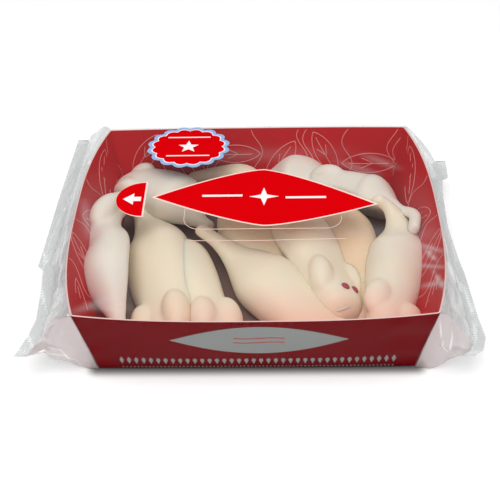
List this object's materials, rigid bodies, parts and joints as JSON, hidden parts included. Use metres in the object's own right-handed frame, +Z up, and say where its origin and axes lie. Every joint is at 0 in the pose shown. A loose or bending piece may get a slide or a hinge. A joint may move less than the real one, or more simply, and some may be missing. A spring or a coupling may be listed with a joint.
{
  "type": "foam sugar mice tray pack",
  "caption": "Giant white foam sugar mice lying in an open red card tray, closed in a clear film flow wrap with crimped ends.",
  "frame": {"origin": "middle of the pack's flat base, under the middle of the tray", "axes": "+X from the left film end to the right one, +Y from the tray's front wall to its back wall, +Z up"},
  "size_m": [0.32, 0.2691, 0.0612],
  "materials": {
    "tray_card": "printed and varnished, semi-gloss",
    "foam_sugar": "foam sugar: smooth, satin and slightly translucent",
    "clear_film": "glossy clear film"
  },
  "bodies": {
    "root": {"card_tray": "tray_card", "foam_mouse_face": "foam_sugar", "foam_mouse_front_middle": "foam_sugar", "foam_mouse_front_left": "foam_sugar", "foam_mouse_front_right": "foam_sugar", "foam_mouse_left_wall": "foam_sugar", "foam_mouse_back_left": "foam_sugar", "foam_mouse_back_right": "foam_sugar", "foam_mouse_back_top": "foam_sugar", "foam_mouse_middle": "foam_sugar", "foam_mouse_between": "foam_sugar", "foam_mouse_tucked": "foam_sugar", "film_sleeve": "clear_film", "film_end_left": "clear_film", "film_end_right": "clear_film"}
  },
  "joints": []
}
